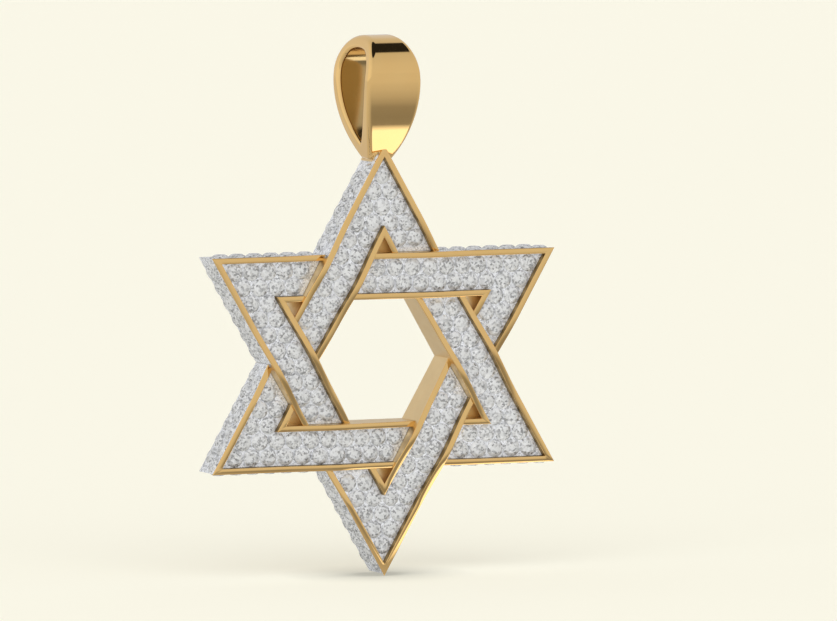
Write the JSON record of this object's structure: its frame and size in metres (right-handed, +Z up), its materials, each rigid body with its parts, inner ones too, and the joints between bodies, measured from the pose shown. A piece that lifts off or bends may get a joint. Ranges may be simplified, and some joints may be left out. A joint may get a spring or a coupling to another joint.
{
  "type": "star of david pendant",
  "caption": "Flat star pendant of interlaced triangular bands, with gold rims round fields of small cut stones, hung by a tapered ribbon bail that a chain passes through.",
  "frame": {"origin": "where a chain sits: the top of the hole in the bail, in the middle of the bail's width and of the star's thickness", "axes": "+Z up, from the star to the bail; the stone-set front faces -Y; +X is the viewer's right"},
  "size_m": [0.0242, 0.006, 0.0351],
  "materials": {
    "gold": "polished yellow gold",
    "white_metal": "bright white metal",
    "clear_stone": "clear cut stone with polished facets"
  },
  "bodies": {
    "root": {"gold_frame": "gold", "front_plate_1": "white_metal", "front_plate_2": "white_metal", "front_plate_3": "white_metal", "front_plate_4": "white_metal", "front_plate_5": "white_metal", "front_plate_6": "white_metal", "side_plate_1_left": "white_metal", "side_plate_1_right": "white_metal", "side_plate_2": "white_metal", "side_plate_3": "white_metal", "side_plate_4": "white_metal", "side_plate_5": "white_metal", "side_plate_6": "white_metal", "up_stones": "clear_stone", "down_stones": "clear_stone"}
  },
  "joints": []
}
